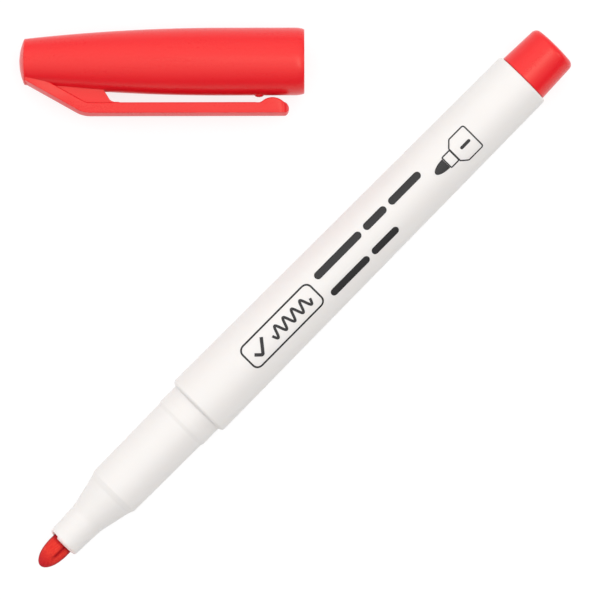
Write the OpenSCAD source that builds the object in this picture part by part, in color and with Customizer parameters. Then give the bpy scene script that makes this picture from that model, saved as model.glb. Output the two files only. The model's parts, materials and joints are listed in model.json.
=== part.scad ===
// Slim bullet-tip whiteboard marker, with its cap taken off and laid beside it.
// Units are millimetres. The marker lies along X with its nib towards +X, Z is up,
// and the origin is on the marker's axis, in the middle of the collar that the cap
// seats on. The cap is drawn in its own frame first: X runs from its mouth to its
// closed end, and the pocket clip is on its +Y side.

/* [Barrel] */
// Length of the collar that the cap seats on
collar_length = 4; // [3.8:0.02:4.2]
// Radius of the collar
collar_r = 5.42; // [5.4:0.01:5.43]
// Length of the main barrel, from its shoulder to its rear end
barrel_length = 82.6; // [80:0.1:90]
// Radius of the main barrel at its shoulder
barrel_front_r = 6.2; // [6.1:0.01:6.3]
// Radius of the main barrel at its rear end
barrel_rear_r = 5.58; // [5.5:0.01:5.8]
// Length of the grip
grip_length = 17; // [16:0.1:17.5]
// Radius of the grip beside the collar
grip_rear_r = 5.22; // [5.15:0.01:5.25]
// Radius of the grip at its front edge
grip_front_r = 5.06; // [5:0.01:5.1]
// Length of the cone between the grip and the nose tube
cone_length = 6.9; // [6.5:0.1:7.2]
// Length of the nose tube that holds the nib
nose_length = 6.3; // [6:0.1:6.6]
// Radius of the nose tube where it meets the cone
nose_root_r = 3.3; // [3.25:0.01:3.32]
// Radius of the nose tube at its front rim
nose_front_r = 3.06; // [3:0.01:3.08]
// Radius of the cavity that holds the ink reservoir
cavity_r = 4.7; // [4.65:0.01:4.75]

/* [Nib and ink] */
// Radius of the nib
nib_r = 2.12; // [2.1:0.01:2.14]
// Length of the nib that shows in front of the nose tube
nib_exposed = 5.6; // [5:0.1:6]
// Length of the rounded point of the nib
nib_point = 4.5; // [4.2:0.05:5]
// Length of the nib's stem behind the nose rim, without its tapered end
nib_stem = 18.2; // [17:0.1:19]
// Radius of the ink reservoir
reservoir_r = 4.3; // [4:0.05:4.3]
// Length of the ink reservoir
reservoir_length = 88; // [80:1:89]
// Thickness of the film around the ink reservoir
film_t = 0.1; // [0.08:0.01:0.1]

/* [End plug] */
// Length of the plug that shows behind the barrel
plug_length = 8.3; // [7.5:0.1:9]
// Radius of the plug where it meets the barrel
plug_front_r = 4.98; // [4.9:0.01:5.1]
// Radius of the plug beside its rear edge
plug_rear_r = 4.66; // [4.5:0.01:4.8]
// Length of the plug's stem inside the barrel
plug_stem = 6.5; // [5:0.1:7]

/* [Cap] */
// Length of the cap, from its mouth to the top of its domed end
cap_length = 50.9; // [50:0.1:52]
// Outer radius of the cap at its mouth
cap_mouth_r = 6.05; // [6:0.01:6.1]
// Outer radius of the cap at the edge of its closed end
cap_end_r = 4.12; // [4:0.01:4.2]
// Height of the dome on the closed end
cap_dome = 0.9; // [0.7:0.05:1.1]
// Distance from the mouth at which the cap starts to narrow
cap_straight = 14.7; // [14:0.1:16]
// Gap between the cap's bore and the collar, on the radius
cap_clearance = 0.05; // [0.03:0.01:0.08]
// Length of the parallel bore inside the mouth
cap_bore_length = 8; // [6:0.5:9]

/* [Pocket clip] */
// Distance from the cap's axis to the outer face of the clip
clip_out = 9.74; // [9.6:0.01:9.9]
// Thickness of the clip
clip_t = 2.46; // [2.4:0.01:2.5]
// Width of the clip
clip_w = 4.4; // [4:0.1:5]
// Depth of the bevels along the clip's outer face
clip_bevel = 0.6; // [0.5:0.05:0.8]
// Width of each bevel, across the clip
clip_bevel_w = 1.9; // [1.2:0.1:1.9]
// Distance from the mouth to the tip of the clip
clip_tip = 2.76; // [2.5:0.02:3]
// Distance from the mouth to the root that the clip's arm flexes at
clip_root = 31.2; // [30.5:0.1:31.6]
// Distance from the mouth to the bend at the back of the clip
clip_bend = 39.6; // [39:0.1:40]
// Thickness of the web between the clip and the cap
web_t = 3.8; // [2.2:0.1:3.9]
// Radius of the bump that grips the cloth
bump_r = 2.85; // [2.7:0.05:3]
// Distance from the mouth to the bump
bump_at = 5.7; // [5.5:0.1:5.9]
// Height of the bump above the clip
bump_height = 0.88; // [0.7:0.02:0.9]

/* [Where the cap lies] */
// Angle between the cap and the marker
cap_turn = 45.15; // [44:0.05:46]
// Place of the cap's middle along the marker's axis
cap_mid_x = -41.4; // [-44:0.1:-40]
// Place of the cap's middle to the side of the marker
cap_mid_y = -47.9; // [-52:0.1:-46]

/* [Hidden] */

round_fn = 96;   // facets of a full turn
corner_steps = 5; // steps in each rounded corner
curve_steps = 10; // steps along each long curve

red_plastic = [0.9, 0.09, 0.08];
white_plastic = [0.96, 0.95, 0.94];
red_felt = [0.8, 0.04, 0.03];
ink_soaked = [0.75, 0.2, 0.2];
clear_film = [0.85, 0.87, 0.9];
natural_plastic = [0.9, 0.9, 0.88];

// stations along the marker
collar_front_x = collar_length / 2;
shoulder_x = -collar_front_x;
shoulder_fillet = 0.1;
barrel_rear_x = shoulder_x - barrel_length;
grip_front_x = collar_front_x + grip_length;
nose_root_x = grip_front_x + cone_length;
nose_front_x = nose_root_x + nose_length;
nib_tip_x = nose_front_x + nib_exposed;
plug_rear_x = barrel_rear_x - plug_length;

// steeper edge between the grip and the cone
grip_edge_length = 1.1;
grip_edge_drop = 0.44;

// inside of the barrel
nib_bore_r = nib_r + 0.14;
nib_rib_w = 0.7;
nib_ribs = 6;
vent_w = 1.8;
vent_depth = 0.42;
vent_turn = 45;
cavity_front_x = shoulder_x + 0.8;
grip_cavity_r = reservoir_r + film_t + 0.02;
grip_cavity_rear_x = shoulder_x + 2.6;
grip_cavity_front_x = nose_root_x - 12.8;
funnel_front_x = nose_root_x - 7.6;
rib_w = 0.8;
rib_bury = 0.15;
ribs = 6;
rib_rear_x = barrel_rear_x + plug_stem + 2;

// nib and reservoir
nib_stem_x = nose_front_x - nib_stem;
nib_taper = 4.5;
nib_end_r = 0.6;
reservoir_front_x = grip_cavity_front_x - 0.2;
reservoir_rear_x = reservoir_front_x - reservoir_length;

// inside of the end plug
plug_stem_x = barrel_rear_x + plug_stem;
plug_wall = 1.1;

// cap
mouth_round = 1.8;
mouth_lip = 0.42;
cap_bore_r = collar_r + cap_clearance;
cap_bore_flare = 0.1;
cap_cavity_taper = 0.25;
cap_cavity_bend_x = 22.5;
cap_end_wall = 0.5;
cap_edge_x = cap_length - cap_dome;
cap_taper_drop = cap_mouth_r - cap_end_r;
cap_taper_length = cap_edge_x - cap_straight;
liner_r = 4.1;
liner_x = 28.6;
liner_length = 13.8;
liner_end_x = liner_x + liner_length;
seal_gap = 0.02;

// pocket clip
clip_in = clip_out - clip_t;
bend_angle = atan2(clip_out - cap_end_r, cap_edge_x - clip_bend);
knuckle_r = clip_t / 2;
knuckle_gap = 0.05;
knuckle_y = clip_out - knuckle_r;
web_open_x = clip_root + 3.5;
web_open_slant = 1.2;
web_bury = 0.5;
pip_at = 8.1;
pip_r = 1.14;
pip_height = 0.33;
pip_w = 2;

// the cap's place beside the marker
cap_place = [cap_mid_x, cap_mid_y] - cap_length / 2 * [cos(cap_turn), -sin(cap_turn)];

function unit(v) = v / norm(v);

// Points of a corner of radius r at b, between the sides towards a and c.
function corner(a, b, c, r) =
    let (u = unit(a - b), v = unit(c - b), half = acos(u * v) / 2)
    let (mid = b + unit(u + v) * r / sin(half))
    let (from = b + u * r / tan(half) - mid, to = b + v * r / tan(half) - mid)
    let (start = atan2(from[1], from[0]), stop = atan2(to[1], to[0]))
    let (sweep = (stop - start + 540) % 360 - 180)
    [for (i = [0:corner_steps])
        mid + r * [cos(start + sweep * i / corner_steps), sin(start + sweep * i / corner_steps)]];

// An outline of [x, y, corner radius] points, with its corners rounded.
function rounded(outline) =
    let (n = len(outline), at = [for (p = outline) [p[0], p[1]]])
    [for (i = [0:n - 1])
        each outline[i][2] > 0
            ? corner(at[(i + n - 1) % n], at[i], at[(i + 1) % n], outline[i][2])
            : [at[i]]];

// Outer radius of the cap at distance x from its mouth.
function cap_r(x) = cap_mouth_r - cap_taper_drop * pow(max(0, x - cap_straight) / cap_taper_length, 2);

// A turned solid about the X axis, from an outline of [radius, x] points.
module turned(outline) {
    rotate([0, 90, 0]) rotate_extrude($fn = round_fn) polygon(outline);
}

module barrel_shell() {
    turned(rounded([
        [nib_bore_r, nose_front_x, 0],
        [nose_front_r, nose_front_x, 0.55],
        [nose_root_r, nose_root_x, 6],
        [grip_front_r - grip_edge_drop, grip_front_x + grip_edge_length, 1],
        [grip_front_r, grip_front_x, 0.5],
        [grip_rear_r, collar_front_x + 0.2, 0.15],
        [collar_r, collar_front_x, 0],
        [collar_r, shoulder_x, shoulder_fillet],
        [barrel_front_r, shoulder_x, 0.6],
        [barrel_rear_r, barrel_rear_x, 0.35],
        [cavity_r, barrel_rear_x, 0],
        [cavity_r, cavity_front_x, 0],
        [grip_cavity_r, grip_cavity_rear_x, 0],
        [grip_cavity_r, grip_cavity_front_x, 0],
        [nib_bore_r, funnel_front_x, 0]
    ]));
}

// Ribs inside the cavity, which hold the reservoir and let air pass it.
module reservoir_ribs() {
    for (i = [0:ribs - 1])
        rotate([i * 360 / ribs, 0, 0])
            translate([rib_rear_x, -rib_w / 2, grip_cavity_r])
                cube([shoulder_x + 1 - rib_rear_x, rib_w, cavity_r + rib_bury - grip_cavity_r]);
}

// Ribs inside the nose tube, which grip the nib and leave air vents beside it.
module nib_holding_ribs() {
    for (i = [0:nib_ribs - 1])
        rotate([vent_turn + 30 + i * 360 / nib_ribs, 0, 0])
            translate([funnel_front_x + 0.5, -nib_rib_w / 2, nib_r])
                cube([nose_front_x - funnel_front_x - 1.2, nib_rib_w, nib_bore_r + rib_bury - nib_r]);
}

// Two notches through the front rim, where air enters.
module rim_vents() {
    for (side = [0, 180])
        rotate([vent_turn + side, 0, 0])
            translate([nose_front_x - vent_depth, -vent_w / 2, 0])
                cube([vent_depth + 1, vent_w, nose_front_r + 0.2]);
}

module barrel() {
    color(white_plastic)
        difference() {
            union() {
                barrel_shell();
                reservoir_ribs();
                nib_holding_ribs();
            }
            rim_vents();
        }
}

module nib() {
    point_start_x = nib_tip_x - nib_point;
    point = [for (i = [0:curve_steps]) let (a = 90 * i / curve_steps)
        [nib_r * cos(a), point_start_x + nib_point * sin(a)]];
    color(red_felt)
        turned(concat(point, [
            [0, nib_stem_x - nib_taper],
            [nib_end_r, nib_stem_x - nib_taper],
            [nib_r, nib_stem_x]
        ]));
}

// The fibre rod that holds the ink. The nib's tapered end is pressed into its front.
module ink_reservoir() {
    color(ink_soaked)
        difference() {
            turned([
                [0, reservoir_rear_x],
                [reservoir_r, reservoir_rear_x],
                [reservoir_r, reservoir_front_x],
                [0, reservoir_front_x]
            ]);
            turned([
                [0, nib_stem_x - nib_taper],
                [nib_end_r, nib_stem_x - nib_taper],
                [nib_r, nib_stem_x],
                [nib_r, reservoir_front_x + 1],
                [0, reservoir_front_x + 1]
            ]);
        }
}

module reservoir_film() {
    color(clear_film)
        turned([
            [reservoir_r, reservoir_rear_x],
            [reservoir_r + film_t, reservoir_rear_x],
            [reservoir_r + film_t, reservoir_front_x],
            [reservoir_r, reservoir_front_x]
        ]);
}

// Hollow plug that closes the rear of the barrel.
module end_plug() {
    color(red_plastic)
        turned(rounded([
            [0, plug_rear_x, 0],
            [plug_rear_r, plug_rear_x, 0.9],
            [plug_front_r, barrel_rear_x, 0],
            [cavity_r, barrel_rear_x, 0],
            [cavity_r, plug_stem_x, 0.5],
            [cavity_r - plug_wall, plug_stem_x, 0.2],
            [plug_rear_r - plug_wall, plug_rear_x + plug_wall, 0.4],
            [0, plug_rear_x + plug_wall, 0]
        ]));
}

module cap_outer() {
    lip = [for (i = [0:corner_steps]) let (a = 90 * i / corner_steps)
        [cap_mouth_r - mouth_lip * (1 - sin(a)), mouth_round * (1 - cos(a))]];
    taper = [for (i = [0:curve_steps]) let (x = cap_straight + cap_taper_length * i / curve_steps)
        [cap_r(x), x]];
    dome_r = (pow(cap_end_r, 2) + pow(cap_dome, 2)) / (2 * cap_dome);
    dome_half = asin(cap_end_r / dome_r);
    dome = [for (i = [1:corner_steps]) let (a = dome_half * (1 - i / corner_steps))
        [dome_r * sin(a), cap_length - dome_r * (1 - cos(a))]];
    turned(concat([[0, 0]], lip, taper, dome));
}

module cap_cavity() {
    turned([
        [0, -1],
        [cap_bore_r + cap_bore_flare, -1],
        [cap_bore_r + cap_bore_flare, 0],
        [cap_bore_r, 2 * cap_bore_flare],
        [cap_bore_r, cap_bore_length],
        [cap_bore_r - 0.1, cap_bore_length + 0.4],
        [cap_bore_r - cap_cavity_taper, cap_cavity_bend_x],
        [liner_r, liner_x - 0.4],
        [liner_r, liner_end_x],
        [liner_r - 0.4, liner_end_x + 0.2],
        [cap_end_r - 1, cap_edge_x - 0.9],
        [0, cap_edge_x - cap_end_wall]
    ]);
}

// Profile across the clip, standing up in Y, with its bevelled outer face on top.
module clip_section() {
    half_w = clip_w / 2;
    polygon([
        [-half_w, -clip_t],
        [half_w, -clip_t],
        [half_w, -clip_bevel],
        [half_w - clip_bevel_w, 0],
        [clip_bevel_w - half_w, 0],
        [-half_w, -clip_bevel]
    ]);
}

// A straight run of the clip along +X, with the middle of its outer face on the X axis.
module clip_run(from, to) {
    translate([from, 0, 0]) rotate([0, 90, 0]) linear_extrude(to - from) clip_section();
}

// The clip's fixed back part: the slope from the closed end, and the stub of the arm.
module clip_back() {
    mitre = bend_angle / 2;
    bend = [clip_bend, clip_out];
    intersection() {
        translate([bend[0], bend[1], 0]) rotate([0, 0, -bend_angle]) clip_run(-2, 14);
        translate([bend[0], bend[1], 0]) rotate([0, 0, -mitre]) translate([0, -20, -5])
            cube([40, 40, 10]);
        translate([0, 0, -5]) cube([cap_edge_x - 0.2, 20, 10]);
    }
    intersection() {
        translate([0, clip_out, 0]) clip_run(clip_root, clip_bend + 2);
        translate([bend[0], bend[1], 0]) rotate([0, 0, -mitre]) translate([-40, -20, -5])
            cube([40, 40, 10]);
    }
}

// The round socket that the arm's root turns in.
module clip_socket() {
    translate([clip_root, knuckle_y, -5])
        cylinder(r = knuckle_r + knuckle_gap, h = 10, $fn = round_fn);
}

// The thinner web that joins the clip's back to the cap.
module clip_web() {
    inset = clip_bevel + 0.4;
    rise = clip_in - cap_r(web_open_x + web_open_slant);
    stretch = 1 + web_bury / rise;
    translate([0, 0, -web_t / 2])
        linear_extrude(web_t)
            polygon(rounded([
                [web_open_x - 1.4, clip_in + 0.6, 0],
                [web_open_x - 1.4, clip_in, 0],
                [web_open_x, clip_in, 1.6],
                [web_open_x + web_open_slant * stretch, clip_in - rise * stretch, 0],
                [web_open_x + web_open_slant + 2, cap_end_r - 0.6, 0],
                [cap_edge_x - 1, cap_end_r - 1.6, 0],
                [cap_edge_x - 0.6, cap_end_r - 0.4, 0],
                [clip_bend - 0.5, clip_out - inset, 0],
                [web_open_x, clip_out - inset, 0]
            ]));
}

module cap_pip() {
    translate([pip_at, cap_mouth_r + pip_height - pip_r, -pip_w / 2])
        cylinder(r = pip_r, h = pip_w, $fn = round_fn);
}

module place_cap() {
    translate([cap_place[0], cap_place[1], 0]) rotate([0, 0, -cap_turn]) children();
}

module cap_shell() {
    color(red_plastic)
        place_cap()
            difference() {
                union() {
                    cap_outer();
                    clip_web();
                    clip_back();
                    cap_pip();
                }
                cap_cavity();
                clip_socket();
            }
}

// Inner seal, which closes over the nose tube and keeps the nib from drying.
module cap_liner() {
    nose_root_at = nose_root_x - shoulder_x;
    nose_front_at = nose_front_x - shoulder_x;
    nose_slope = (nose_root_r - nose_front_r) / nose_length;
    chamber_r = nib_r + 0.4;
    liner_end_wall = 0.9;
    color(natural_plastic)
        place_cap()
            turned([
                [nose_root_r - nose_slope * (liner_x - nose_root_at) + seal_gap + 0.25, liner_x],
                [liner_r, liner_x],
                [liner_r, liner_end_x],
                [0, liner_end_x],
                [0, liner_end_x - liner_end_wall],
                [chamber_r, liner_end_x - liner_end_wall],
                [chamber_r, nose_front_at + 0.5],
                [nose_front_r + seal_gap, nose_front_at + 0.2],
                [nose_root_r - nose_slope * (liner_x + 1 - nose_root_at) + seal_gap, liner_x + 1]
            ]);
}

// The clip's free arm, with the bump at its end and a round root that it flexes about.
module pocket_clip() {
    bump_y = clip_in - bump_height + bump_r;
    color(red_plastic)
        place_cap() {
            intersection() {
                translate([0, clip_out, 0]) clip_run(clip_tip, clip_root);
                translate([0, 0, -5])
                    linear_extrude(10)
                        polygon(rounded([
                            [clip_tip, clip_in, 0.8],
                            [clip_tip, clip_out, 0.8],
                            [clip_root, clip_out, 0],
                            [clip_root, clip_in, 0]
                        ]));
            }
            intersection() {
                translate([bump_at, bump_y, -clip_w / 2])
                    cylinder(r = bump_r, h = clip_w, $fn = round_fn);
                translate([bump_at - 5, clip_in - 2, -5]) cube([10, 3, 10]);
            }
            intersection() {
                translate([clip_root, knuckle_y, -clip_w / 2])
                    cylinder(r = knuckle_r, h = clip_w, $fn = round_fn);
                translate([0, clip_out, 0]) clip_run(clip_root - 3, clip_root + 3);
            }
        }
}

barrel();
nib();
ink_reservoir();
reservoir_film();
end_plug();
cap_shell();
cap_liner();
pocket_clip();
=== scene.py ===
"""The looks of a slim whiteboard marker with its cap off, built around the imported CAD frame.

Outlines are in millimetres and meshes are in metres. The marker's own frame is the row's
frame. The cap has a frame of its own: X runs from its mouth to its closed end, and the
pocket clip is on its +Y side.
"""

import json
import math

import bmesh
import bpy
from mathutils import Matrix, Vector, noise


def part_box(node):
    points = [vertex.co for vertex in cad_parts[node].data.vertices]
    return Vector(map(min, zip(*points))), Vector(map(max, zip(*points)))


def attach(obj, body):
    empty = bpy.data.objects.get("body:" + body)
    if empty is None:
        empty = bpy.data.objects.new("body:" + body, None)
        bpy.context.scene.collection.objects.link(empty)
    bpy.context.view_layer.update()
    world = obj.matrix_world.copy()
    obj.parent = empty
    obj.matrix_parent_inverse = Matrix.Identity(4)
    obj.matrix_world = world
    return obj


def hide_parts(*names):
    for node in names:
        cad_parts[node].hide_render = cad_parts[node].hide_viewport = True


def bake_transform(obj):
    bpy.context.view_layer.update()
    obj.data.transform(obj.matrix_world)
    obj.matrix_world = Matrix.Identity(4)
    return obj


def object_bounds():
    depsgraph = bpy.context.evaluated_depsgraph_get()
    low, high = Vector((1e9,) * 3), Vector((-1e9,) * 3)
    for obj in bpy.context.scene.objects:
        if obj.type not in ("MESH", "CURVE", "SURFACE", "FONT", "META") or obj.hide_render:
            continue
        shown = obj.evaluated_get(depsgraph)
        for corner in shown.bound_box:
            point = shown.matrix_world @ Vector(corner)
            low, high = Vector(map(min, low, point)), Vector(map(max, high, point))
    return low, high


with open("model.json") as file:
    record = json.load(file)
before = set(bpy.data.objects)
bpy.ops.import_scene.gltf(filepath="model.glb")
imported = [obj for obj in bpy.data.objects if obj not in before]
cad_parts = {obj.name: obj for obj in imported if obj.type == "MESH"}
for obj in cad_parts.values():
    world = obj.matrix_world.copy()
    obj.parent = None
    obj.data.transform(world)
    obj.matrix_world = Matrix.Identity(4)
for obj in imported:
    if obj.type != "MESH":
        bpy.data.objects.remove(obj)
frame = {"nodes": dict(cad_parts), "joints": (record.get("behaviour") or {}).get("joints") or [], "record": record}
cad_lo, cad_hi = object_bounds()

MM = 0.001
TURNS = 192  # facets of a full turn

# ---------------------------------------------------------------- places from the frame

mounts = {m["name"]: m for m in frame["record"]["mounts"]}
joints = {j["name"]: j for j in frame["joints"]}


def high_x(node):
    """The node's end towards the nib, in mm."""
    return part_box(node)[1].x / MM


def low_x(node):
    """The node's end towards the plug, in mm."""
    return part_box(node)[0].x / MM


nose_front = high_x("barrel")
barrel_rear = low_x("barrel")
nib_tip = high_x("nib")
nib_rear = low_x("nib")
plug_rear = low_x("end_plug")
plug_stem = high_x("end_plug")
collar_r = mounts["cap_seat"]["dims"]["r_mm"]
cap_bore_r = mounts["cap_mouth"]["dims"]["r_mm"]

COLLAR_HALF = 2.0  # half the length of the collar, whose middle is the origin
shoulder = -COLLAR_HALF

MOUTH_MOUNT_DEPTH = 4.1  # the mount's distance inside the cap's mouth
mouth_axis = Vector(mounts["cap_mouth"]["axis"])
cap_turn = math.atan2(mouth_axis.y, mouth_axis.x) + math.pi
cap_mouth = Vector(mounts["cap_mouth"]["pos_m"]) + mouth_axis * MOUTH_MOUNT_DEPTH * MM
cap_place = Matrix.Translation(cap_mouth) @ Matrix.Rotation(cap_turn, 4, "Z")

# ---------------------------------------------------------------- driving dimensions, mm

BARREL_FRONT_R = 6.186
BARREL_REAR_R = 5.58
GRIP_LENGTH = 17.0
CONE_LENGTH = 6.9
GRIP_REAR_R = 5.22
GRIP_FRONT_R = 5.06
GRIP_EDGE_LENGTH = 1.1
GRIP_EDGE_R = 4.62
NOSE_ROOT_R = 3.3
NOSE_FRONT_R = 3.06
NIB_R = 2.12
NIB_POINT = 4.5
NIB_BORE_R = 2.26
CREASE_TURN = 24  # degrees from the top of the nib to the crease along it
NIB_TAPER_START = 14.0  # inside the barrel, from the origin
CAVITY_R = 4.7
GRIP_CAVITY_R = 4.42
FUNNEL_REAR = 12.8  # behind the front end of the cone
FUNNEL_FRONT = 7.6

PLUG_FRONT_R = 4.98
PLUG_REAR_R = 4.66
PLUG_SEAM = 0.07
PLUG_WALL = 1.1

CAP_LENGTH = 50.9
CAP_MOUTH_R = 6.05
CAP_END_R = 4.12
CAP_DOME = 0.9
CAP_STRAIGHT = 14.7
CAP_EDGE = CAP_LENGTH - CAP_DOME

CLIP_OUT = 9.74
CLIP_T = 2.46
CLIP_HALF_W = 2.2
CLIP_FLARE = 0.9  # added to the half width at the closed end
CLIP_FLARE_LENGTH = 7.0
CLIP_LEVEL_LENGTH = 2.5  # where its sections turn square to the cap
CLIP_BEVEL = 0.62
CLIP_BEVEL_W = 1.95
CLIP_TIP = 2.76
CLIP_TIP_R = 0.85
CLIP_TIP_TAPER = 1.5
CLIP_TIP_NARROW = 0.85
CLIP_BEND = 39.6
WEB_HALF_T = 1.9
WEB_OPEN = 34.7
WEB_SLANT = 1.2
WEB_BURY = 0.5  # how far its foot reaches into the cap
WEB_SOFT = 0.22
BUMP_AT = 5.7
BUMP_R = 2.85
BUMP_HEIGHT = 0.88
BUMP_SOFT = 0.1

grip_front = COLLAR_HALF + GRIP_LENGTH
nose_root = grip_front + CONE_LENGTH

# ---------------------------------------------------------------- outlines


def corner(a, b, c, r, steps):
    """Points of a corner of radius r at b, between the sides towards a and c."""
    a, b, c = Vector(a), Vector(b), Vector(c)
    u, v = (a - b).normalized(), (c - b).normalized()
    half = math.acos(max(-1, min(1, u.dot(v)))) / 2
    if math.pi / 2 - half < 1e-4:
        return [tuple(b)] * (steps + 1)
    mid = b + (u + v).normalized() * r / math.sin(half)
    start = b + u * r / math.tan(half) - mid
    stop = b + v * r / math.tan(half) - mid
    from_angle = math.atan2(start.y, start.x)
    sweep = math.atan2(stop.y, stop.x) - from_angle
    sweep = (sweep + 3 * math.pi) % (2 * math.pi) - math.pi
    angles = [from_angle + sweep * i / steps for i in range(steps + 1)]
    return [(mid.x + r * math.cos(t), mid.y + r * math.sin(t)) for t in angles]


def rounded(outline, steps=6, closed=True):
    """An outline of (x, y, corner radius) points, with its corners rounded."""
    n = len(outline)
    points = []
    for i, (x, y, r) in enumerate(outline):
        end_point = not closed and i in (0, n - 1)
        if r > 0 and not end_point:
            points += corner(outline[i - 1][:2], (x, y), outline[(i + 1) % n][:2], r, steps)
        else:
            points.append((x, y))
    return points


def fine(points, step, edge=0.06, closed=False):
    """The same outline with extra points on its long straight sides, close to their ends too."""
    made = []
    ends = points[1:] + points[:1] if closed else points[1:]
    for p, q in zip(points, ends):
        made.append(p)
        length = math.dist(p, q)
        if length > 4 * edge:
            inner = length - 2 * edge
            count = max(1, math.ceil(inner / step))
            stations = [(edge + inner * k / count) / length for k in range(count + 1)]
            made += [(p[0] + (q[0] - p[0]) * t, p[1] + (q[1] - p[1]) * t) for t in stations]
    if not closed:
        made.append(points[-1])
    return made


def smooth_step(x, low, high):
    """A smooth rise from 0 at low to 1 at high."""
    t = max(0.0, min(1.0, (x - low) / (high - low)))
    return t * t * (3 - 2 * t)


# ---------------------------------------------------------------- meshes


def face_of(bm, corners):
    """Adds a face, leaving out corners that fall together."""
    kept = []
    for v in corners:
        if v not in kept:
            kept.append(v)
    if len(kept) > 2:
        bm.faces.new(kept)


def turned(bm, outline, turns=TURNS, closed=False):
    """Adds a turned surface about the X axis, from (x, radius) points."""
    rings = []
    for x, r in outline:
        count = 1 if r < 1e-6 else turns
        angles = [2 * math.pi * i / turns for i in range(count)]
        rings.append([bm.verts.new((x * MM, r * MM * math.cos(t), r * MM * math.sin(t))) for t in angles])
    pairs = list(zip(rings, rings[1:] + rings[:1] if closed else rings[1:]))
    for p, q in pairs:
        for i in range(turns):
            j = (i + 1) % turns
            face_of(bm, [p[i % len(p)], p[j % len(p)], q[j % len(q)], q[i % len(q)]])


def lofted(bm, rings):
    """Adds a closed skin over rings of points, with its two ends filled."""
    made = [[bm.verts.new(p) for p in ring] for ring in rings]
    n = len(made[0])
    for p, q in zip(made, made[1:]):
        for i in range(n):
            j = (i + 1) % n
            face_of(bm, [p[i], p[j], q[j], q[i]])
    bm.faces.new(made[0])
    bm.faces.new(list(reversed(made[-1])))


def finish_piece(name, bm, material, place=None, sharp=38):
    """Makes an object in the row frame from a bmesh."""
    bmesh.ops.recalc_face_normals(bm, faces=bm.faces)
    mesh = bpy.data.meshes.new(name)
    bm.to_mesh(mesh)
    bm.free()
    if place is not None:
        mesh.transform(place)
    mesh.shade_smooth()
    mesh.set_sharp_from_angle(angle=math.radians(sharp))
    mesh.materials.append(material)
    piece = bpy.data.objects.new(name, mesh)
    bpy.context.scene.collection.objects.link(piece)
    return piece


# ---------------------------------------------------------------- materials


class Look:
    """A Principled material, with short ways to add texture nodes to it."""

    def __init__(self, name, **values):
        self.material = bpy.data.materials.new(name)
        self.material.use_nodes = True
        self.tree = self.material.node_tree
        self.bsdf = self.tree.nodes["Principled BSDF"]
        for key, value in values.items():
            self.bsdf.inputs[key.replace("_", " ")].default_value = value

    def node(self, kind, **settings):
        """A new node, with its settings."""
        made = self.tree.nodes.new(kind)
        for key, value in settings.items():
            setattr(made, key, value)
        return made

    def join(self, output, socket):
        """A link from an output to an input."""
        self.tree.links.new(output, socket)

    def place(self, turn=0.0, stretch=(1, 1, 1)):
        """The object's own coordinates, turned about Z and stretched."""
        where = self.node("ShaderNodeTexCoord").outputs["Object"]
        turned_by = self.node("ShaderNodeMapping", vector_type="POINT")
        turned_by.inputs["Rotation"].default_value = (0, 0, turn)
        self.join(where, turned_by.inputs["Vector"])
        scaled = self.node("ShaderNodeMapping", vector_type="POINT")
        scaled.inputs["Scale"].default_value = stretch
        self.join(turned_by.outputs["Vector"], scaled.inputs["Vector"])
        return scaled.outputs["Vector"]

    def noise(self, size, detail=3, roughness=0.55, turn=0.0, stretch=(1, 1, 1)):
        """Noise whose features are about size mm across."""
        made = self.node("ShaderNodeTexNoise")
        made.inputs["Scale"].default_value = 1 / (size * MM)
        made.inputs["Detail"].default_value = detail
        made.inputs["Roughness"].default_value = roughness
        self.join(self.place(turn, stretch), made.inputs["Vector"])
        return made.outputs["Fac"]

    def remap(self, value, low, high, to_low, to_high):
        """value, moved and stretched so that low to high becomes to_low to to_high, and held there."""
        made = self.node("ShaderNodeMapRange")
        self.join(value, made.inputs["Value"])
        for key, number in zip(("From Min", "From Max", "To Min", "To Max"), (low, high, to_low, to_high)):
            made.inputs[key].default_value = number
        return made.outputs["Result"]

    def mix(self, factor, first, second):
        """A colour between first and second, which are colours or outputs."""
        made = self.node("ShaderNodeMix", data_type="RGBA")
        self.join(factor, made.inputs[0])
        for socket, colour in ((made.inputs[6], first), (made.inputs[7], second)):
            if isinstance(colour, tuple):
                socket.default_value = (*colour, 1)
            else:
                self.join(colour, socket)
        return made.outputs[2]

    def maths(self, operation, *values):
        """The result of a maths operation on outputs or numbers."""
        made = self.node("ShaderNodeMath", operation=operation)
        for value, socket in zip(values, made.inputs):
            if isinstance(value, (int, float)):
                socket.default_value = value
            else:
                self.join(value, socket)
        return made.outputs["Value"]

    def weighted(self, first, second, weight):
        """first plus second times weight."""
        return self.maths("MULTIPLY_ADD", second, weight, first)

    def bump(self, height, depth, strength=1.0):
        """Bump of the given depth in mm."""
        made = self.node("ShaderNodeBump")
        made.inputs["Strength"].default_value = strength
        made.inputs["Distance"].default_value = depth * MM
        self.join(height, made.inputs["Height"])
        self.join(made.outputs["Normal"], self.bsdf.inputs["Normal"])

    def colour(self, output):
        self.join(output, self.bsdf.inputs["Base Color"])

    def roughness(self, output):
        self.join(output, self.bsdf.inputs["Roughness"])


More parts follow.
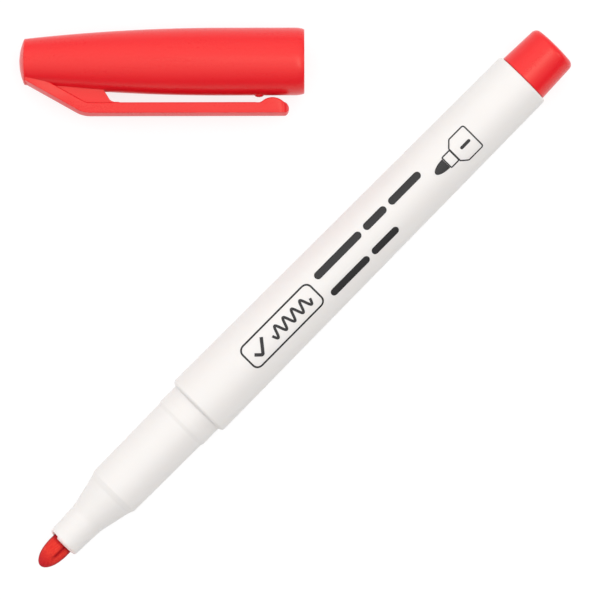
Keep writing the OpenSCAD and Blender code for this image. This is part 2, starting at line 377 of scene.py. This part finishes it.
def barrel_look():
    """Satin white polypropylene, with a trace of ink soaked into the rim round the nib."""
    look = Look(
        "white_polypropylene",
        Subsurface_Weight=0.25,
        Subsurface_Radius=(1.0, 0.85, 0.7),
        Subsurface_Scale=0.8 * MM,
        Specular_IOR_Level=0.4,
    )
    warm_white, light_white, stained = (0.725, 0.698, 0.677), (0.745, 0.720, 0.702), (0.9, 0.5, 0.46)
    cloud = look.noise(9, detail=2)
    white = look.mix(cloud, warm_white, light_white)
    along = look.node("ShaderNodeSeparateXYZ")
    look.join(look.place(), along.inputs["Vector"])
    wobble = look.noise(0.7, detail=2)
    soaked = look.weighted(along.outputs["X"], wobble, 0.5 * MM)
    near_rim = look.remap(soaked, (nose_front - 0.5) * MM, (nose_front + 0.25) * MM, 0, 0.45)
    look.colour(look.mix(near_rim, white, stained))
    grain = look.noise(0.12, detail=4)
    scuffs = look.noise(2.5, detail=4, stretch=(0.25, 1, 1))
    look.roughness(look.remap(look.weighted(grain, scuffs, 0.8), 0.5, 1.3, 0.36, 0.52))
    look.bump(grain, 0.006, 0.6)
    return look.material


def red_look(name, turn):
    """Semi-gloss red polypropylene, with faint flow lines along the moulding."""
    look = Look(
        name,
        Subsurface_Weight=0.12,
        Subsurface_Radius=(1.0, 0.12, 0.06),
        Subsurface_Scale=0.7 * MM,
        Specular_IOR_Level=0.45,
        Specular_Tint=(1, 0.95, 0.72, 1),
    )
    deep_red, light_red, middle_red = (0.71, 0.006, 0.014), (0.76, 0.009, 0.019), (0.74, 0.007, 0.016)
    flow = look.noise(1.6, detail=3, turn=turn, stretch=(0.08, 1, 1))
    cloud = look.noise(6, detail=2)
    look.colour(look.mix(cloud, look.mix(flow, deep_red, light_red), middle_red))
    grain = look.noise(0.16, detail=2)
    look.roughness(look.remap(look.weighted(grain, flow, 0.8), 0.5, 1.3, 0.24, 0.36))
    look.bump(look.weighted(grain, flow, 0.6), 0.006, 0.6)
    return look.material


def felt_look():
    """Ink-soaked bonded fibre along the nib, with painted shade at its tip, down its sides and in its crease, and
    a painted shadow at its root by the rim.
    """
    look = Look("ink_soaked_felt", Specular_IOR_Level=0.12)
    dark_fibre, light_fibre, patch = (0.48, 0.005, 0.01), (0.86, 0.064, 0.032), (0.68, 0.016, 0.016)
    painted_tip_shade_red, painted_root_shadow_red = (0.46, 0.003, 0.014), (0.34, 0.001, 0.006)
    painted_side_shade_red, painted_crease_shade_red = (0.3, 0.002, 0.01), (0.38, 0.001, 0.005)
    fibres = look.noise(0.09, detail=5, roughness=0.7, stretch=(0.07, 1, 1))
    patches = look.noise(1.1, detail=3)
    colour = look.mix(look.remap(fibres, 0.3, 0.7, 0, 1), dark_fibre, light_fibre)
    colour = look.mix(look.remap(patches, 0.35, 0.7, 0, 0.5), colour, patch)
    where = look.node("ShaderNodeSeparateXYZ")
    look.join(look.place(), where.inputs["Vector"])
    station = where.outputs["X"]
    turn = look.maths("ARCTAN2", where.outputs["Y"], where.outputs["Z"])
    # Painted shade: the nib is darker towards its rounded tip.
    painted_tip_shade_mask = look.remap(station, (nib_tip - 2.8) * MM, (nib_tip - 0.2) * MM, 0, 0.9)
    colour = look.mix(painted_tip_shade_mask, colour, painted_tip_shade_red)
    # Painted shadow: the nib is darker just in front of the rim, where the rim and the gap shade it.
    painted_root_shadow_mask = look.remap(station, (nose_front + 0.15) * MM, (nose_front + 0.7) * MM, 0.8, 0)
    colour = look.mix(painted_root_shadow_mask, colour, painted_root_shadow_red)
    # Painted shade: the nib is darker down its sides, the further round from its top.
    painted_side_shade_mask = look.remap(look.maths("ABSOLUTE", turn), 0.95, 1.45, 0, 0.85)
    colour = look.mix(painted_side_shade_mask, colour, painted_side_shade_red)
    # Painted shade: the nib is darker in its crease, which stops short of the tip.
    beside = look.maths("ABSOLUTE", look.maths("SUBTRACT", turn, math.radians(CREASE_TURN)))
    painted_crease_shade_mask = look.remap(beside, 0.08, 0.25, 0.92, 0)
    before_tip = look.remap(station, (nib_tip - 3.2) * MM, (nib_tip - 2.0) * MM, 1, 0)
    colour = look.mix(look.maths("MULTIPLY", painted_crease_shade_mask, before_tip), colour, painted_crease_shade_red)
    look.colour(colour)
    look.roughness(look.remap(patches, 0.3, 0.7, 0.5, 0.75))
    look.bump(fibres, 0.05, 0.9)
    return look.material


def fibre_rod_look():
    """The reservoir's fibre, paler than the nib."""
    look = Look("ink_fibre_rod", Specular_IOR_Level=0.25)
    fibres = look.noise(0.12, detail=5, roughness=0.7, stretch=(0.05, 1, 1))
    look.colour(look.mix(look.remap(fibres, 0.3, 0.7, 0, 1), (0.45, 0.02, 0.02), (0.8, 0.2, 0.16)))
    look.roughness(look.remap(fibres, 0.3, 0.7, 0.75, 0.95))
    look.bump(fibres, 0.04, 0.8)
    return look.material


def film_look():
    """Clear film with shallow creases round the reservoir."""
    look = Look("clear_film", Transmission_Weight=0.7, IOR=1.45)
    crinkle = look.noise(3, detail=3, stretch=(0.4, 1, 1))
    look.colour(look.mix(crinkle, (0.85, 0.88, 0.9), (0.92, 0.93, 0.94)))
    look.roughness(look.remap(crinkle, 0.3, 0.7, 0.1, 0.25))
    look.bump(crinkle, 0.03, 0.5)
    return look.material


def seal_look():
    """Soft natural polyethylene, stained a little by ink."""
    look = Look(
        "natural_polyethylene",
        Subsurface_Weight=0.3,
        Subsurface_Radius=(1, 0.9, 0.8),
        Subsurface_Scale=1 * MM,
    )
    stain = look.noise(2.2, detail=4)
    look.colour(look.mix(look.remap(stain, 0.45, 0.8, 0, 0.6), (0.82, 0.8, 0.76), (0.9, 0.5, 0.42)))
    look.roughness(look.remap(stain, 0.3, 0.7, 0.45, 0.6))
    look.bump(look.noise(0.2, detail=3), 0.006, 0.5)
    return look.material


def ink_look():
    """Black printing ink, a little uneven as pad printing is."""
    look = Look("black_print", Specular_IOR_Level=0.4)
    solid_black, thin_black = (0.009, 0.008, 0.009), (0.022, 0.020, 0.020)
    speckle = look.noise(0.1, detail=3)
    look.colour(look.mix(look.remap(speckle, 0.4, 0.75, 0, 1), solid_black, thin_black))
    look.roughness(look.remap(speckle, 0.3, 0.7, 0.38, 0.5))
    look.bump(speckle, 0.003, 0.5)
    return look.material


WHITE = barrel_look()
RED = red_look("red_polypropylene", 0.0)
CAP_RED = red_look("red_polypropylene_cap", -cap_turn)
FELT = felt_look()
FIBRE_ROD = fibre_rod_look()
FILM = film_look()
SEAL = seal_look()
INK = ink_look()

# ---------------------------------------------------------------- marker


def barrel_outline():
    """Outer and inner outline of the barrel, from its front rim back and round again."""
    return fine(
        rounded(
            [
                (nose_front, NIB_BORE_R, 0.1),
                (nose_front, NOSE_FRONT_R, 0.6),
                (nose_root, NOSE_ROOT_R, 6),
                (grip_front + GRIP_EDGE_LENGTH, GRIP_EDGE_R, 1.2),
                (grip_front, GRIP_FRONT_R, 0.6),
                (COLLAR_HALF + 0.4, GRIP_REAR_R, 0.8),
                (COLLAR_HALF - 0.25, collar_r, 0.8),
                (COLLAR_HALF - 1.1, collar_r, 1.5),
                (COLLAR_HALF - 1.5, collar_r - 0.04, 1.5),
                (shoulder + 0.05, collar_r - 0.04, 0.25),
                (shoulder - 0.3, BARREL_FRONT_R, 0.6),
                (barrel_rear, BARREL_REAR_R, 0.45),
                (barrel_rear, CAVITY_R, 0.05),
                (shoulder + 0.8, CAVITY_R, 0.2),
                (shoulder + 2.6, GRIP_CAVITY_R, 0.2),
                (nose_root - FUNNEL_REAR, GRIP_CAVITY_R, 0.4),
                (nose_root - FUNNEL_FRONT, NIB_BORE_R, 0.4),
            ],
            steps=8,
        ),
        step=1.5,
        closed=True,
    )


VENT_W = 1.8
VENT_DEPTH = 0.42
VENT_TURN = 45  # degrees from the top of the barrel


def cut_vents(barrel):
    """Cuts the two air notches through the front rim."""
    bm = bmesh.new()
    for side in (0, 180):
        box = bmesh.ops.create_cube(bm, size=1)["verts"]
        low, high = NIB_R - 0.6, NOSE_FRONT_R + 0.3
        size = (VENT_DEPTH + 1, VENT_W, high - low)
        middle = (nose_front - VENT_DEPTH + size[0] / 2, 0, (low + high) / 2)
        bmesh.ops.scale(bm, vec=[s * MM for s in size], verts=box)
        bmesh.ops.translate(bm, vec=[m * MM for m in middle], verts=box)
        turn = Matrix.Rotation(math.radians(VENT_TURN + side), 4, "X")
        bmesh.ops.transform(bm, matrix=turn, verts=box)
    cutter_mesh = bpy.data.meshes.new("vent_cutter")
    bm.to_mesh(cutter_mesh)
    bm.free()
    cutter = bpy.data.objects.new("vent_cutter", cutter_mesh)
    bpy.context.scene.collection.objects.link(cutter)
    cut = barrel.modifiers.new("vents", "BOOLEAN")
    cut.operation = "DIFFERENCE"
    cut.solver = "EXACT"
    cut.object = cutter
    depsgraph = bpy.context.evaluated_depsgraph_get()
    result = bpy.data.meshes.new_from_object(barrel.evaluated_get(depsgraph))
    barrel.modifiers.clear()
    barrel.data = result
    bpy.data.objects.remove(cutter)


def make_barrel():
    """The barrel from its nose tube to its rear face, hollow, with its vents cut."""
    bm = bmesh.new()
    turned(bm, barrel_outline(), closed=True)
    barrel = finish_piece("barrel_body", bm, WHITE)
    cut_vents(barrel)
    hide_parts("barrel")
    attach(barrel, "marker")


NIB_TURNS = 240
FIBRE_DEPTH = 0.018
CREASE_DEPTH = 0.22
CREASE_WIDTH = 0.27
FACET_DEPTH = 0.12


def nib_radius_change(x, angle, r):
    """How far the nib's skin stands out at x mm and an angle from the top: fibres, a crease and a flat."""
    beside = (angle - math.radians(CREASE_TURN)) * r
    behind_point = smooth_step(nib_tip - x, 1.9, 3.0)
    crease = CREASE_DEPTH * math.exp(-((beside / CREASE_WIDTH) ** 2))
    flat = FACET_DEPTH * smooth_step(beside, 0, 0.15) * (1 - smooth_step(beside, 0.7, 1.6))
    fibre = noise.noise(Vector((x / 1.6, angle * r / 0.11, 0.3)))
    fibre += 0.5 * noise.noise(Vector((x / 0.5, angle * r / 0.06, 7.1)))
    return FIBRE_DEPTH * fibre * min(1, r / 0.8) - behind_point * (crease + flat)


def make_nib():
    """The felt nib: a round point, and a neck and stem that reach into the barrel."""
    bm = bmesh.new()
    point_start = nib_tip - NIB_POINT
    point_steps = 44
    quarter = [math.pi / 2 * (1 - i / point_steps) for i in range(point_steps + 1)]
    point = [(point_start + NIB_POINT * math.sin(t), NIB_R * math.cos(t)) for t in quarter]
    point[0] = (nib_tip, 0)
    neck = [(point_start - 0.12 * i, NIB_R) for i in range(1, 12)]
    stem = [(NIB_TAPER_START, NIB_R), (nib_rear, 0.6), (nib_rear, 0)]
    turned(bm, point + neck + stem, turns=NIB_TURNS)
    for v in bm.verts:
        x = v.co.x / MM
        r = math.hypot(v.co.y, v.co.z) / MM
        if r > 1e-4 and x > nose_front - 1.2:
            angle = math.atan2(v.co.y, v.co.z)
            scale = 1 + nib_radius_change(x, angle, r) / r
            v.co.y *= scale
            v.co.z *= scale
    nib = finish_piece("felt_nib", bm, FELT, sharp=70)
    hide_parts("nib")
    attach(nib, "marker")


def make_end_plug():
    """The plug's head, with a thin dark seam at the barrel, and its hollow stem."""
    head = barrel_rear - PLUG_SEAM
    gate_depth = 0.07
    outline = rounded(
        [
            (plug_rear, 0, 0),
            (plug_rear, 0.55, 0.03),
            (plug_rear + gate_depth, 0.62, 0.03),
            (plug_rear + gate_depth, 1.0, 0.03),
            (plug_rear, 1.08, 0.05),
            (plug_rear, 2.2, 3),
            (plug_rear + 0.2, PLUG_REAR_R, 1.15),
            (head, PLUG_FRONT_R, 0.12),
            (head, CAVITY_R - 0.12, 0.03),
            (barrel_rear + 0.1, CAVITY_R - 0.12, 0.03),
            (barrel_rear + 0.3, CAVITY_R - 0.01, 0.05),
            (plug_stem, CAVITY_R - 0.01, 0.5),
            (plug_stem, CAVITY_R - PLUG_WALL, 0.2),
            (plug_rear + PLUG_WALL, PLUG_REAR_R - PLUG_WALL, 0.4),
            (plug_rear + PLUG_WALL, 0, 0),
        ],
        closed=False,
        steps=8,
    )
    bm = bmesh.new()
    turned(bm, fine(outline, step=1.0, edge=0.05))
    plug = finish_piece("rear_plug", bm, RED)
    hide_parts("end_plug")
    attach(plug, "marker")


# ---------------------------------------------------------------- print on the barrel

PRINT_PROUD = 0.018
PRINT_DEPTH = 0.03
PRINT_STEP = 0.3


def barrel_r(x):
    """Outer radius of the main barrel at station x."""
    share = (shoulder - x) / (shoulder - barrel_rear)
    return BARREL_FRONT_R + (BARREL_REAR_R - BARREL_FRONT_R) * share


def on_barrel(along, across):
    """The point on the barrel that is along mm behind the shoulder and across mm round from the top."""
    x = shoulder - along
    r = barrel_r(x) + PRINT_PROUD
    angle = across / r
    return Vector((x, r * math.sin(angle), r * math.cos(angle))) * MM


class Print:
    """Flat marks, drawn in mm along and round the barrel and wrapped on it."""

    def __init__(self):
        self.bm = bmesh.new()

    def grid(self, rows):
        """Adds faces between rows of (along, across) points."""
        made = [[self.bm.verts.new(on_barrel(*p)) for p in row] for row in rows]
        for p, q in zip(made, made[1:]):
            for i in range(len(p) - 1):
                face_of(self.bm, [p[i], p[i + 1], q[i + 1], q[i]])

    def filled(self, start, end, low, high, steps=40):
        """Fills the space between the curves low(along) and high(along)."""
        rows = []
        for i in range(steps + 1):
            t = (1 - math.cos(math.pi * i / steps)) / 2
            along = start + (end - start) * t
            bottom, top = low(along), high(along)
            rows.append([(along, bottom + (top - bottom) * k / 12) for k in range(13)])
        self.grid(rows)

    def bar(self, start, end, across, height):
        """A bar with round ends."""
        r = height / 2

        def half(along):
            past = max(start + r - along, along - end + r, 0)
            return math.sqrt(max(r * r - past * past, 0)) + 1e-4

        self.filled(start, end, lambda s: across - half(s), lambda s: across + half(s), steps=60)

    def stroke(self, points, width, closed=False):
        """A line of even width along points."""
        path = fine(points, PRINT_STEP, edge=0.02, closed=closed)
        n = len(path)
        rows = []
        for i, p in enumerate(path):
            before = path[i - 1] if closed or i else p
            after = path[(i + 1) % n] if closed or i < n - 1 else p
            run = Vector((after[0] - before[0], after[1] - before[1])).normalized()
            side = Vector((-run.y, run.x)) * width / 2
            rows.append([(p[0] + side.x * k, p[1] + side.y * k) for k in (1, 0, -1)])
        self.grid(rows + rows[:1] if closed else rows)

    def piece(self, name):
        """Closes the marks into thin solids that reach a little way into the barrel."""
        bm = self.bm
        bmesh.ops.remove_doubles(bm, verts=bm.verts, dist=1e-7)
        tops = list(bm.faces)
        rim = [e for e in bm.edges if e.is_boundary]
        below = {}
        for v in list(bm.verts):
            shrink = 1 - PRINT_DEPTH * MM / math.hypot(v.co.y, v.co.z)
            below[v] = bm.verts.new((v.co.x, v.co.y * shrink, v.co.z * shrink))
        for f in tops:
            bm.faces.new([below[v] for v in reversed(f.verts)])
        for e in rim:
            a, b = e.verts
            bm.faces.new([a, b, below[b], below[a]])
        made = finish_piece(name, bm, INK)
        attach(made, "marker")


FRAME_LINE, SQUIGGLE_LINE, TICK_LINE, SIGN_LINE = 0.34, 0.5, 0.62, 0.26
FRAME_START, FRAME_END = 12.4, 29.6
FRAME_LOW, FRAME_HIGH = -1.9, 3.1
SQUIGGLE_WAVES = 4.5
SQUIGGLE_HALF = 1.0
SQUIGGLE_STEPS = 90
WORDS_START = 31.2
TOP_LINE, LOWER_LINE = -1.25, 3.05
WORD_HEIGHT = 1.45
WORD_GAP = 0.95


def make_badge():
    """A rounded frame with a tick and a squiggle in it, as a generic badge."""
    mark = Print()
    frame_corners = [
        (FRAME_START, FRAME_LOW, 1.2),
        (FRAME_END, FRAME_LOW, 1.2),
        (FRAME_END, FRAME_HIGH, 1.2),
        (FRAME_START, FRAME_HIGH, 1.2),
    ]
    mark.stroke(rounded(frame_corners, steps=8), FRAME_LINE, closed=True)
    middle = (FRAME_LOW + FRAME_HIGH) / 2
    start, end = FRAME_START + 6.1, FRAME_END - 1.6
    squiggle = []
    for i in range(SQUIGGLE_STEPS + 1):
        t = i / SQUIGGLE_STEPS
        wave = SQUIGGLE_HALF * math.sin(2 * math.pi * SQUIGGLE_WAVES * t)
        squiggle.append((start + (end - start) * t, middle + wave))
    mark.stroke(squiggle, SQUIGGLE_LINE)
    tick = [
        (FRAME_START + 1.5, middle + 0.1, 0),
        (FRAME_START + 2.6, middle + 1.2, 0.25),
        (FRAME_START + 4.6, middle - 1.3, 0),
    ]
    mark.stroke(rounded(tick, closed=False), TICK_LINE)
    mark.piece("print_badge")


def make_bars():
    """Two lines of plain bars in the place of words."""
    mark = Print()
    for across, lengths in ((TOP_LINE, (11.4, 5.4, 7.7)), (LOWER_LINE, (9.4, 6.4))):
        at = WORDS_START
        for length in lengths:
            mark.bar(at, at + length, across, WORD_HEIGHT)
            at += length + WORD_GAP
    mark.piece("print_bars")


def make_nib_sign():
    """A generic sign of a bullet nib, with a sample stroke beside it and no lettering."""
    mark = Print()
    start = 59.4
    middle = 0.95
    nib_long, nib_half = 2.7, 1.05

    def nib_edge(along):
        t = min(1, (along - start) / nib_long)
        return nib_half * math.sqrt(max(1 - (1 - t) ** 2, 0)) + 1e-4

    mark.filled(start, start + nib_long, lambda s: middle - nib_edge(s), lambda s: middle + nib_edge(s))
    collar = start + nib_long + 0.15
    collar_end = collar + 1.9
    mark.stroke(
        rounded(
            [
                (collar, middle - 1.25, 0.2),
                (collar_end, middle - 1.25, 0.2),
                (collar_end, middle + 1.25, 0.2),
                (collar, middle + 1.25, 0.2),
            ]
        ),
        SIGN_LINE,
        closed=True,
    )
    body_end = start + 9.6
    mark.stroke(
        rounded(
            [
                (collar_end + 0.1, middle - 1.5, 0.2),
                (collar_end + 1.3, middle - 2.7, 0.5),
                (body_end, middle - 2.7, 0.4),
                (body_end, middle + 2.7, 0.4),
                (collar_end + 1.3, middle + 2.7, 0.5),
                (collar_end + 0.1, middle + 1.5, 0.2),
            ]
        ),
        SIGN_LINE,
        closed=True,
    )
    mark.bar(collar_end + 1.6, body_end - 0.9, middle, 0.6)
    mark.piece("print_nib_sign")


# ---------------------------------------------------------------- cap


def cap_r(x):
    """Outer radius of the cap at distance x from its mouth."""
    past = max(0.0, x - CAP_STRAIGHT) / (CAP_EDGE - CAP_STRAIGHT)
    return CAP_MOUTH_R - (CAP_MOUTH_R - CAP_END_R) * past**2


LINER_R = 4.1
LINER_START = 28.6
LINER_END = 42.4
MOUTH_ROUND = 1.8
MOUTH_LIP = 0.42


def cap_outline():
    """Outline of the cap, from the middle of its dome round the mouth to the middle of its inside."""
    dome_r = (CAP_END_R**2 + CAP_DOME**2) / (2 * CAP_DOME)
    dome_half = math.asin(CAP_END_R / dome_r)
    dome = []
    steps = 18
    for i in range(3, steps - 1):  # between the gate mark and the edge's rounding
        t = dome_half * i / steps
        dome.append((CAP_LENGTH - dome_r * (1 - math.cos(t)), dome_r * math.sin(t), 0))
    gate = [
        (CAP_LENGTH - 0.07, 0, 0),
        (CAP_LENGTH - 0.07, 0.5, 0.02),
        (CAP_LENGTH - 0.01, 0.56, 0.02),
    ]
    taper = []
    for i in range(1, 40):
        x = CAP_EDGE - (CAP_EDGE - CAP_STRAIGHT) * i / 40
        taper.append((x, cap_r(x), 0))
    lip = []
    for i in range(13):
        t = math.pi / 2 * i / 12
        lip.append((MOUTH_ROUND * (1 - math.sin(t)), CAP_MOUTH_R - MOUTH_LIP * (1 - math.cos(t)), 0))
    inside = [
        (0, cap_bore_r + 0.1, 0.04),
        (0.35, cap_bore_r, 0.1),
        (8, cap_bore_r, 0.4),
        (8.4, cap_bore_r - 0.1, 0.3),
        (22.5, cap_bore_r - 0.25, 2),
        (LINER_START - 0.4, LINER_R, 1),
        (LINER_END, LINER_R, 0),
        (LINER_END + 0.2, LINER_R - 0.4, 0),
        (CAP_EDGE - 0.9, CAP_END_R - 1, 0.3),
        (CAP_EDGE - 0.5, 0, 0),
    ]
    edge = [(CAP_EDGE, CAP_END_R, 0.3)]
    outline = gate + dome + edge + taper + lip + inside
    return fine(rounded(outline, closed=False), step=1.2, edge=0.08)


PIP_AT = 8.1
PIP_SIZE = (0.82, 0.4, 1.0)
PIP_SINK = 0.07


def add_pip(bm):
    """The small pip on the cap, under the clip."""
    part = bmesh.new()
    steps = 24
    angles = [math.pi * i / steps for i in range(steps + 1)]
    outline = [(math.cos(t), math.sin(t)) for t in angles]
    outline[0], outline[-1] = (1, 0), (-1, 0)
    turned(part, outline, turns=48)
    size = Matrix.Diagonal((*PIP_SIZE, 1))
    part.transform(Matrix.Translation((PIP_AT * MM, (CAP_MOUTH_R - PIP_SINK) * MM, 0)) @ size)
    mesh = bpy.data.meshes.new("pip")
    part.to_mesh(mesh)
    part.free()
    bm.from_mesh(mesh)
    bpy.data.meshes.remove(mesh)


def add_web(bm):
    """The thinner web between the clip's back and the cap, with softened edges."""
    clip_in = CLIP_OUT - CLIP_T
    rise = clip_in - cap_r(WEB_OPEN + WEB_SLANT)
    stretch = 1 + WEB_BURY / rise
    outline = rounded(
        [
            (WEB_OPEN - 1.6, clip_in + 0.9, 0),
            (WEB_OPEN - 1.6, clip_in + 0.14, 0),
            (WEB_OPEN - 0.05, clip_in + 0.1, 1.6),
            (WEB_OPEN + WEB_SLANT * stretch, clip_in - rise * stretch, 0),
            (WEB_OPEN + WEB_SLANT + 2, CAP_END_R - 0.1, 0),
            (CAP_EDGE - 1.2, CAP_END_R - 0.8, 0),
            (CAP_EDGE - 1.6, CAP_END_R - 0.1, 0),
            (CLIP_BEND - 0.4, CLIP_OUT - 1.4, 0),
            (WEB_OPEN, CLIP_OUT - 1.4, 0),
        ],
        steps=10,
    )
    outline = fine(outline, step=0.8, edge=0.1, closed=True)
    n = len(outline)
    layers = []
    for k in range(5):
        t = math.pi / 2 * k / 4
        layers.append((WEB_SOFT * (1 - math.sin(t)), -WEB_HALF_T + WEB_SOFT * (1 - math.cos(t))))
    layers += [(inset, -z) for inset, z in reversed(layers)]
    rings = []
    for inset, z in layers:
        ring = []
        for i, p in enumerate(outline):
            run = Vector(outline[(i + 1) % n]) - Vector(outline[i - 1])
            side = Vector((-run.y, run.x)).normalized() * inset
            ring.append(Vector((p[0] - side.x, p[1] - side.y, z)) * MM)
        rings.append(ring)
    lofted(bm, rings)


def make_cap():
    """The cap's body, with its pip and the web behind its clip."""
    bm = bmesh.new()
    turned(bm, cap_outline())
    add_pip(bm)
    add_web(bm)
    cap = finish_piece("cap_body", bm, CAP_RED, cap_place)
    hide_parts("cap_shell")
    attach(cap, "cap")


def clip_path():
    """Stations along the middle of the clip's outer face, from the closed end to the tip."""
    corners = [(CAP_EDGE - 0.2, CAP_END_R - 0.1, 0), (CLIP_BEND, CLIP_OUT, 5.2), (CLIP_TIP, CLIP_OUT, 0)]
    path = fine(rounded(corners, steps=16, closed=False), step=0.4, edge=0.1)
    path = [p for p in path if p[0] > CLIP_TIP + CLIP_TIP_R]
    steps = 12
    for k in range(steps):
        t = math.pi / 2 * k / steps
        path.append((CLIP_TIP + CLIP_TIP_R * (1 - math.sin(t)), CLIP_OUT))
    return path


def clip_thickness(x):
    """Thickness of the clip at x, with its bump, whose feet are softened."""
    past = abs(x - BUMP_AT)
    rise = 0.0
    if past < BUMP_R:
        rise = math.sqrt(BUMP_R**2 - past**2) - BUMP_R + BUMP_HEIGHT
    softened = (rise + math.hypot(rise, BUMP_SOFT)) / 2
    return CLIP_T + softened - BUMP_SOFT / 2 * smooth_step(past, 1.5, 3)


def clip_section(x):
    """Points (z, depth) round the clip at x, and its thickness there."""
    half = CLIP_HALF_W + CLIP_FLARE * smooth_step(x, CAP_EDGE - CLIP_FLARE_LENGTH, CAP_EDGE)
    flat = CLIP_HALF_W - CLIP_BEVEL_W
    thick = clip_thickness(x)
    outline = [
        (-half, thick, 0.22),
        (-half, CLIP_BEVEL, 0.1),
        (-flat, 0.02, 0.5),
        (flat, 0.02, 0.5),
        (half, CLIP_BEVEL, 0.1),
        (half, thick, 0.22),
    ]
    return rounded(outline, steps=5), thick


def make_clip():
    """The clip as one smooth strip with a round tip, from the closed end to the bump and past it."""
    path = clip_path()
    n = len(path)
    rings = []
    for i, p in enumerate(path):
        before, after = path[max(i - 1, 0)], path[min(i + 1, n - 1)]
        run = (Vector(after) - Vector(before)).normalized()
        across = Vector((-run.y, run.x))
        if across.y > 0:
            across = -across
        level = smooth_step(p[0], CAP_EDGE - CLIP_LEVEL_LENGTH, CAP_EDGE - 0.3)
        inward = across.lerp(Vector((0, -1)), level).normalized()
        section, thick = clip_section(p[0])
        past = p[0] - CLIP_TIP
        thin = math.sqrt(max(1e-3, 1 - max(0, 1 - past / CLIP_TIP_R) ** 2))
        narrow = math.sqrt(1 - CLIP_TIP_NARROW * max(0, 1 - past / CLIP_TIP_TAPER) ** 2)
        ring = []
        for z, depth in section:
            depth = thick / 2 + (depth - thick / 2) * thin
            at = Vector(p) + inward * depth / inward.dot(across)
            ring.append(Vector((at.x, at.y, z * narrow)) * MM)
        rings.append(ring)
    bm = bmesh.new()
    lofted(bm, rings)
    clip = finish_piece("clip_strip", bm, CAP_RED, cap_place)
    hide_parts("pocket_clip")
    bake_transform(clip)


# ---------------------------------------------------------------- pieces kept from the CAD


def finish_cad_node(name, material):
    """Gives a hidden CAD piece its material and smooth shading."""
    node = frame["nodes"][name]
    node.data.materials.clear()
    node.data.materials.append(material)
    node.data.shade_smooth()
    node.data.set_sharp_from_angle(angle=math.radians(35))


# ---------------------------------------------------------------- studio

VIEW_WIDTH = 107.14 * MM
VIEW_MIDDLE = Vector((-28.54, -0.43, 0)) * MM
VIEW_TURN = math.radians(-0.108)
CAMERA_HEIGHT = 1.5


def make_camera():
    """A camera that looks straight down, turned so that the cap lies level in the view."""
    data = bpy.data.cameras.new("camera")
    data.sensor_width = 36
    data.lens = data.sensor_width * CAMERA_HEIGHT / VIEW_WIDTH
    data.clip_start, data.clip_end = 0.05, 20
    camera = bpy.data.objects.new("camera", data)
    camera.location = VIEW_MIDDLE + Vector((0, 0, CAMERA_HEIGHT))
    camera.rotation_euler = (0, 0, math.atan2(mouth_axis.y, mouth_axis.x) + VIEW_TURN)
    bpy.context.scene.collection.objects.link(camera)
    bpy.context.scene.camera = camera


def make_floor():
    """A plain white light table."""
    bm = bmesh.new()
    bmesh.ops.create_grid(bm, x_segments=8, y_segments=8, size=4)
    look = Look(
        "pale_floor",
        Specular_IOR_Level=0.2,
        Emission_Color=(1, 1, 1, 1),
        Emission_Strength=0.78,
    )
    shade = look.noise(60, detail=2)
    look.colour(look.mix(shade, (0.22, 0.22, 0.22), (0.24, 0.24, 0.24)))
    look.roughness(look.remap(shade, 0.3, 0.7, 0.85, 0.95))
    floor = finish_piece("floor", bm, look.material, Matrix.Translation((0, 0, cad_lo.z)))


def add_softbox(name, first, second, height, width, radiance):
    """A rectangular softbox that faces the view's middle.

    Its centre line runs between first and second, directions given as (x, y) for each metre up.
    """
    ends = [Vector((x, y, 1)) * height for x, y in (first, second)]
    middle = (ends[0] + ends[1]) / 2
    data = bpy.data.lights.new(name, "AREA")
    data.shape = "RECTANGLE"
    data.size, data.size_y = (ends[1] - ends[0]).length, width
    data.energy = radiance * math.pi * data.size * data.size_y
    light = bpy.data.objects.new(name, data)
    back = middle.normalized()
    along = (ends[1] - ends[0]).cross(back).normalized()
    facing = Matrix((back.cross(along) * -1, along, back)).transposed()
    light.matrix_world = Matrix.Translation(VIEW_MIDDLE + middle) @ facing.to_4x4()
    bpy.context.scene.collection.objects.link(light)


def make_surroundings(brightest, low, high, falloff):
    """A white studio dome, which is brightest in one direction and dim at the horizon."""
    world = bpy.data.worlds.new("studio")
    bpy.context.scene.world = world
    world.use_nodes = True
    tree = world.node_tree
    background = tree.nodes["Background"]
    background.inputs["Color"].default_value = (1, 1, 1, 1)
    where = tree.nodes.new("ShaderNodeTexCoord")
    facing = tree.nodes.new("ShaderNodeVectorMath")
    facing.operation = "DOT_PRODUCT"
    facing.inputs[1].default_value = brightest.normalized()
    upper = tree.nodes.new("ShaderNodeMath")
    upper.operation = "MAXIMUM"
    upper.inputs[1].default_value = 0
    shaped = tree.nodes.new("ShaderNodeMath")
    shaped.operation = "POWER"
    shaped.inputs[1].default_value = falloff
    strength = tree.nodes.new("ShaderNodeMath")
    strength.operation = "MULTIPLY_ADD"
    strength.inputs[1].default_value = high - low
    strength.inputs[2].default_value = low
    tree.links.new(where.outputs["Generated"], facing.inputs[0])
    tree.links.new(facing.outputs["Value"], upper.inputs[0])
    tree.links.new(upper.outputs["Value"], shaped.inputs[0])
    tree.links.new(shaped.outputs["Value"], strength.inputs[0])
    tree.links.new(strength.outputs["Value"], background.inputs["Strength"])


def make_studio():
    """The dome, the two softboxes and plain colours."""
    make_surroundings(Vector((-0.12, -0.36, 1)), low=0.14, high=1.66, falloff=0.95)
    add_softbox("strip_softbox", (0.02, 0.5), (-0.3, -0.12), height=1.4, width=0.28, radiance=3.0)
    add_softbox("rear_softbox", (-0.9, 0.7), (-1.1, 1.0), height=0.35, width=0.3, radiance=2.9)
    bpy.context.scene.view_settings.view_transform = "Standard"


make_barrel()
make_nib()
make_end_plug()
make_badge()
make_bars()
make_nib_sign()
make_cap()
make_clip()
finish_cad_node("ink_reservoir", FIBRE_ROD)
finish_cad_node("reservoir_film", FILM)
finish_cad_node("cap_liner", SEAL)
make_floor()
make_studio()
make_camera()
